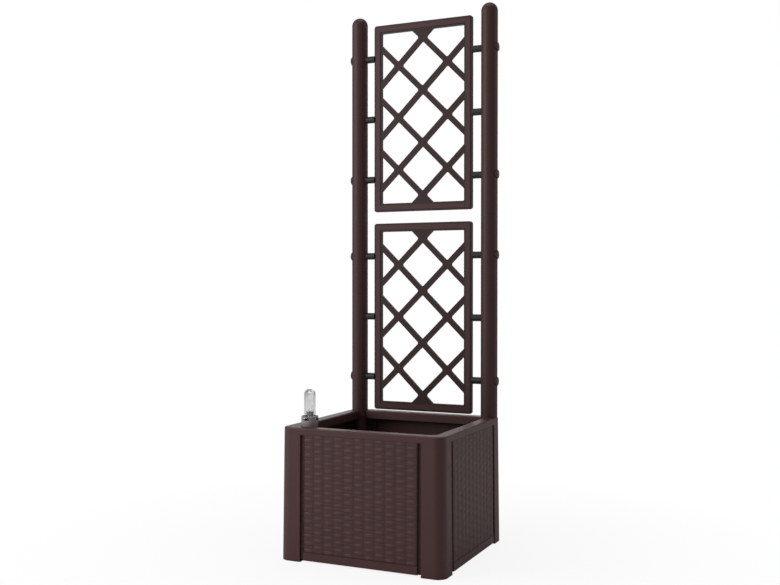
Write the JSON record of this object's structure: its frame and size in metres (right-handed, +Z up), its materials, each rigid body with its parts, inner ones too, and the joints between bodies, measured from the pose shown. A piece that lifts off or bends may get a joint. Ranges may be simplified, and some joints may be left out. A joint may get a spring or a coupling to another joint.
{
  "type": "planter with trellis",
  "caption": "Square woven-look planter with corner columns, a water tray and level gauge, and a two-panel lattice trellis held between round posts at the back.",
  "frame": {"origin": "centre of the pot's footprint on the floor", "axes": "+Z up, -Y towards the front face, +X to the right as seen from the front; the trellis stands at +Y"},
  "size_m": [0.432, 0.432, 1.42],
  "materials": {
    "pot_plastic": "matte moulded, mocha brown",
    "trellis_plastic": "satin, mocha brown",
    "spacer_plastic": "matte, dark grey",
    "inner_plastic": "matte, black",
    "gauge_plastic": "satin, grey brown",
    "clear_plastic": "clear",
    "scale_plastic": "matte, light grey",
    "marker_plastic": "matte, dark",
    "float_foam": "fine closed-cell foam",
    "plug_rubber": "matte black"
  },
  "bodies": {
    "planter": {"front_wall": "pot_plastic", "right_wall": "pot_plastic", "back_wall": "pot_plastic", "left_wall": "pot_plastic", "back_right_column": "pot_plastic", "back_left_column": "pot_plastic", "front_left_column": "pot_plastic", "front_right_column": "pot_plastic", "rim_frame": "pot_plastic", "base_tray": "inner_plastic", "soil_platform": "inner_plastic", "wick_cups": "inner_plastic", "fill_shaft": "gauge_plastic", "filler_cup": "gauge_plastic", "gauge_tube": "clear_plastic", "gauge_scale": "scale_plastic", "left_post_lower": "trellis_plastic", "left_post_upper": "trellis_plastic", "left_post_coupler": "spacer_plastic", "left_post_cap": "trellis_plastic", "left_spacer_sleeves": "spacer_plastic", "left_pins": "trellis_plastic", "left_middle_spacers": "spacer_plastic", "right_post_lower": "trellis_plastic", "right_post_upper": "trellis_plastic", "right_post_coupler": "spacer_plastic", "right_post_cap": "trellis_plastic", "right_spacer_sleeves": "spacer_plastic", "right_pins": "trellis_plastic", "right_middle_spacers": "spacer_plastic", "lower_lattice": "trellis_plastic", "upper_lattice": "trellis_plastic"},
    "float_assembly": {"float": "float_foam", "float_rod": "scale_plastic", "level_marker": "marker_plastic"},
    "plug": {"overflow_plug": "plug_rubber"}
  },
  "joints": [
    {"name": "float_rise", "type": "slide", "parent": "planter", "child": "float_assembly", "axis": [0, 0, 1], "range_m": [0, 0.045]},
    {"name": "plug_pull", "type": "slide", "parent": "planter", "child": "plug", "axis": [0, 1, 0], "range_m": [0, 0.03]}
  ]
}
